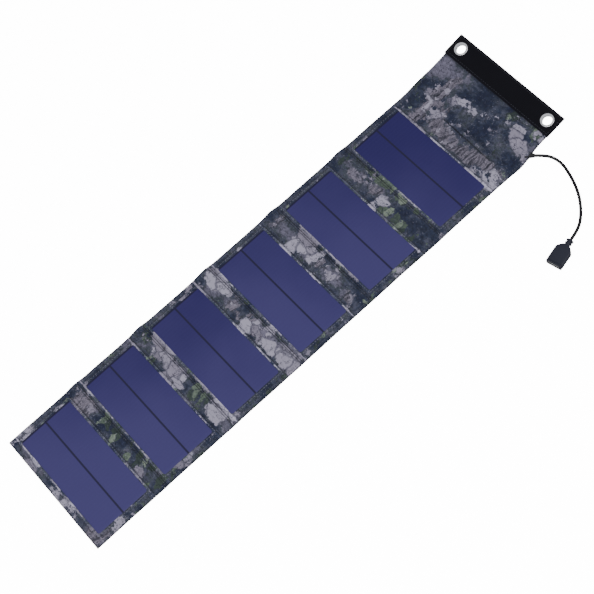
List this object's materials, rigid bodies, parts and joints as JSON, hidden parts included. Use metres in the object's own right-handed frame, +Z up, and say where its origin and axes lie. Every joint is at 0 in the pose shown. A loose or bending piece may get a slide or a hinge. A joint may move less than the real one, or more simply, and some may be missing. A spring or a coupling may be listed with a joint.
{
  "type": "folding solar charger",
  "caption": "Soft folding solar charger strip with camouflage fabric sections, a regulator pocket with an eyeleted end band, and a short USB lead.",
  "frame": {"origin": "centre of the flat strip's box, on the ground", "axes": "+Y along the strip towards the pocket's band, +X towards the lead's side, +Z up"},
  "size_m": [0.2728, 0.661, 0.0206],
  "materials": {
    "camo_fabric": "woven, printed woodland pattern",
    "backing_fabric": "plain woven",
    "stiffener": "plain sheet",
    "laminate_base": "glass-fibre sheet",
    "solar_cell": "dark blue-violet",
    "clear_film": "clear, satin",
    "feed_ribbon": "flat copper",
    "band_webbing": "black webbing",
    "eyelet_metal": "polished",
    "black_plastic": "moulded",
    "circuit_board": "solder mask",
    "components": "moulded",
    "lead_sheath": "satin",
    "usb_metal": "plated",
    "usb_insulator": "moulded",
    "contact_metal": "gold plated"
  },
  "bodies": {
    "section_1": {"back_cover_1": "backing_fabric", "front_cover_1": "camo_fabric", "backing_board_1": "stiffener", "laminate_base_1": "laminate_base", "cell_strips_1": "solar_cell", "top_film_1": "clear_film", "feed_ribbons_1": "feed_ribbon"},
    "section_2": {"back_cover_2": "backing_fabric", "front_cover_2": "camo_fabric", "backing_board_2": "stiffener", "laminate_base_2": "laminate_base", "cell_strips_2": "solar_cell", "top_film_2": "clear_film", "feed_ribbons_2": "feed_ribbon"},
    "section_3": {"back_cover_3": "backing_fabric", "front_cover_3": "camo_fabric", "backing_board_3": "stiffener", "laminate_base_3": "laminate_base", "cell_strips_3": "solar_cell", "top_film_3": "clear_film", "feed_ribbons_3": "feed_ribbon"},
    "section_4": {"back_cover_4": "backing_fabric", "front_cover_4": "camo_fabric", "backing_board_4": "stiffener", "laminate_base_4": "laminate_base", "cell_strips_4": "solar_cell", "top_film_4": "clear_film", "feed_ribbons_4": "feed_ribbon"},
    "section_5": {"back_cover_5": "backing_fabric", "front_cover_5": "camo_fabric", "backing_board_5": "stiffener", "laminate_base_5": "laminate_base", "cell_strips_5": "solar_cell", "top_film_5": "clear_film", "feed_ribbons_5": "feed_ribbon"},
    "section_6": {"back_cover_6": "backing_fabric", "front_cover_6": "camo_fabric", "backing_board_6": "stiffener", "laminate_base_6": "laminate_base", "cell_strips_6": "solar_cell", "top_film_6": "clear_film", "feed_ribbons_6": "feed_ribbon"},
    "pocket": {"pocket_back": "backing_fabric", "pocket_front": "camo_fabric", "feed_ribbons_pocket": "feed_ribbon", "end_band": "band_webbing", "eyelets": "eyelet_metal", "eyelet_washers": "eyelet_metal", "regulator_case_base": "black_plastic", "regulator_case_lid": "black_plastic", "regulator_circuit": "circuit_board", "regulator_components": "components", "usb_lead": "lead_sheath", "lead_grommet": "black_plastic", "inner_lead": "lead_sheath", "socket_neck": "black_plastic", "socket_body": "black_plastic", "usb_shell": "usb_metal", "usb_tongue": "usb_insulator", "usb_contacts": "contact_metal"}
  },
  "joints": [
    {"name": "pocket_fold", "type": "hinge", "parent": "section_6", "child": "pocket", "pos_m": [0, 0.24093, 0.01875], "axis": [1, 0, 0], "range_deg": [0, 168]},
    {"name": "fold_5", "type": "hinge", "parent": "section_6", "child": "section_5", "pos_m": [0, 0.13798, 0.0142], "axis": [-1, 0, 0], "range_deg": [0, 179.9]},
    {"name": "fold_4", "type": "hinge", "parent": "section_5", "child": "section_4", "pos_m": [0, 0.03813, 0.01235], "axis": [-1, 0, 0], "range_deg": [0, 179.9]},
    {"name": "fold_3", "type": "hinge", "parent": "section_4", "child": "section_3", "pos_m": [0, -0.05862, 0.0071], "axis": [-1, 0, 0], "range_deg": [0, 179.9]},
    {"name": "fold_2", "type": "hinge", "parent": "section_3", "child": "section_2", "pos_m": [0, -0.15227, 0.00525], "axis": [-1, 0, 0], "range_deg": [0, 179.9]},
    {"name": "fold_1", "type": "hinge", "parent": "section_2", "child": "section_1", "pos_m": [0, -0.24282, 0.0034], "axis": [-1, 0, 0], "range_deg": [0, 179.9]}
  ]
}
